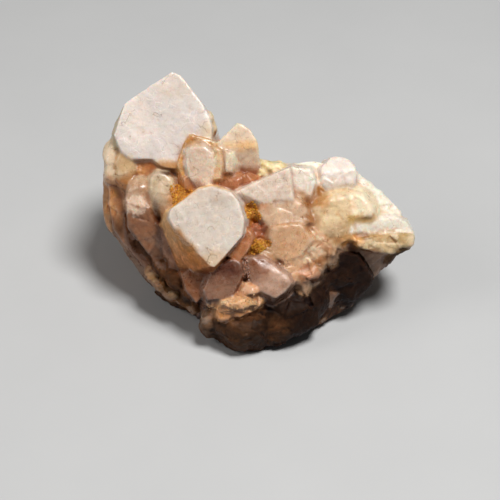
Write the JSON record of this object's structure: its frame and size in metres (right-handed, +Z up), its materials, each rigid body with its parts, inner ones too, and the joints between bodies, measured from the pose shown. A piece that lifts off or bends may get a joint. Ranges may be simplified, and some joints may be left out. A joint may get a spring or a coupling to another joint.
{
  "type": "quartz cluster",
  "caption": "Cluster of blocky milky and pink-brown quartz crystals on a broken root, resting on a flat underside; a mineral display piece",
  "frame": {"origin": "centre of the bounding box's bottom face, on the surface that the cluster rests on", "axes": "+X along the longest extent, to the right as seen from the front; +Z up; the crystal-lined slope faces -Y and up"},
  "size_m": [0.065, 0.0476, 0.0455],
  "materials": {
    "quartz_cluster": "translucent milky crystal faces, stained brown and orange in the crevices"
  },
  "bodies": {
    "root": {"quartz_cluster": "quartz_cluster"}
  },
  "joints": []
}
